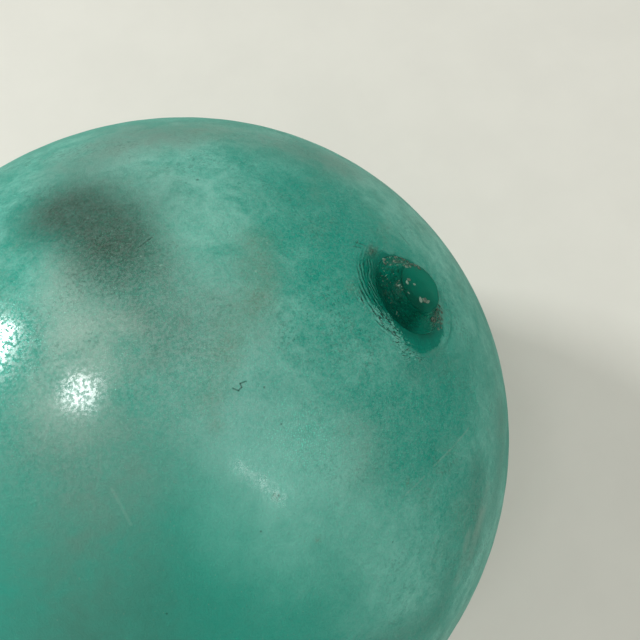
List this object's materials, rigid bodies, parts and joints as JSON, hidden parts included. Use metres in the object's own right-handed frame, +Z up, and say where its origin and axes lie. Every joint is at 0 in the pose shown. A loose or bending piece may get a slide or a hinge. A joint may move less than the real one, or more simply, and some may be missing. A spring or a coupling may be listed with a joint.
{
  "type": "glass float ball",
  "caption": "Hollow blown glass fishing float: a sea-worn, frosted teal ball closed by a raised, pressed seal button, which lies loose on a small flat.",
  "frame": {"origin": "middle of the small flat on the underside that the ball rests on", "axes": "+Z up, away from the resting flat; the seal leans from +Z towards +X, in the XZ plane, which is the plane of symmetry"},
  "size_m": [0.3049, 0.305, 0.304],
  "materials": {
    "frosted_glass": "sea-worn, frosted and translucent, cloudy, with fine pits, scratches and brownish silt",
    "clear_seal_glass": "clear and glossy, deep emerald where it is thick, with cream and brown crust in its creases"
  },
  "bodies": {
    "root": {"blown_ball": "frosted_glass", "seal_button": "clear_seal_glass"}
  },
  "joints": []
}
